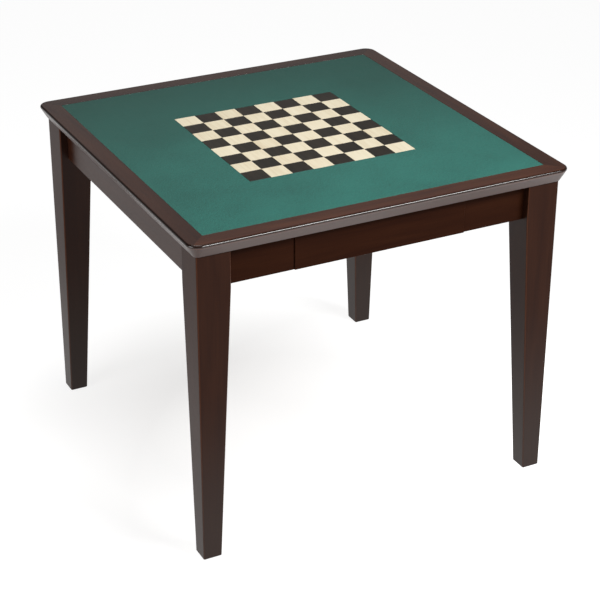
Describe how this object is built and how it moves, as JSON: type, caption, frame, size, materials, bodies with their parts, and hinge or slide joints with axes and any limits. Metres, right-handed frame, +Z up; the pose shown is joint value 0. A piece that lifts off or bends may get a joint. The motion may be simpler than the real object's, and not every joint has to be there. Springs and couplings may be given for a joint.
{
  "type": "game table",
  "caption": "Square game table with a baize field, an inlaid chess board, tapered legs and drawers that slide out under the top.",
  "frame": {"origin": "on the floor, under the middle of the table top", "axes": "+Z up; the front drawer opens along -Y and the back drawer along +Y; +X to the right"},
  "size_m": [0.9016, 0.9016, 0.762],
  "materials": {
    "dark_lacquer": "dark brown stained hardwood under semi-gloss lacquer",
    "baize": "green wool baize",
    "light_veneer": "pale veneer under satin lacquer",
    "dark_veneer": "dark stained veneer under satin lacquer",
    "board_core": "raw board",
    "pale_wood": "pale hardwood, clear sealed",
    "drawer_ply": "thin plywood, sealed",
    "zinc_steel": "zinc plated",
    "glide_nylon": "moulded nylon"
  },
  "bodies": {
    "table": {"back_border_rail": "dark_lacquer", "back_drawer_stop": "pale_wood", "back_left_apron": "dark_lacquer", "back_left_corner_block": "pale_wood", "back_left_leg": "dark_lacquer", "back_left_runner": "pale_wood", "back_right_apron": "dark_lacquer", "back_right_corner_block": "pale_wood", "back_right_leg": "dark_lacquer", "back_right_runner": "pale_wood", "back_top_batten": "board_core", "baize_field": "baize", "corner_block_screws": "zinc_steel", "cross_rail": "pale_wood", "dark_squares": "dark_veneer", "drawer_stop_screws": "zinc_steel", "foot_glides": "glide_nylon", "front_border_rail": "dark_lacquer", "front_drawer_stop": "pale_wood", "front_left_apron": "dark_lacquer", "front_left_corner_block": "pale_wood", "front_left_leg": "dark_lacquer", "front_left_runner": "pale_wood", "front_right_apron": "dark_lacquer", "front_right_corner_block": "pale_wood", "front_right_leg": "dark_lacquer", "front_right_runner": "pale_wood", "front_top_batten": "board_core", "hanger_bolt_nuts": "zinc_steel", "hanger_bolt_washers": "zinc_steel", "hanger_bolts": "zinc_steel", "left_apron": "dark_lacquer", "left_border_rail": "dark_lacquer", "left_drawer_rail": "pale_wood", "left_top_batten": "board_core", "light_squares": "light_veneer", "rail_dowels": "pale_wood", "right_apron": "dark_lacquer", "right_border_rail": "dark_lacquer", "right_drawer_rail": "pale_wood", "right_top_batten": "board_core", "runner_screws": "zinc_steel", "top_bracket_screws": "zinc_steel", "top_brackets": "zinc_steel", "top_core_panel": "board_core"},
    "front_drawer": {"front_drawer_front": "dark_lacquer", "front_drawer_left_side": "pale_wood", "front_drawer_right_side": "pale_wood", "front_drawer_back": "pale_wood", "front_drawer_bottom": "drawer_ply"},
    "back_drawer": {"back_drawer_front": "dark_lacquer", "back_drawer_left_side": "pale_wood", "back_drawer_right_side": "pale_wood", "back_drawer_back": "pale_wood", "back_drawer_bottom": "drawer_ply"}
  },
  "joints": [
    {"name": "front_drawer_slide", "type": "slide", "parent": "table", "child": "front_drawer", "axis": [0, -1, 0], "range_m": [0, 0.225]},
    {"name": "back_drawer_slide", "type": "slide", "parent": "table", "child": "back_drawer", "axis": [0, 1, 0], "range_m": [0, 0.225]}
  ]
}
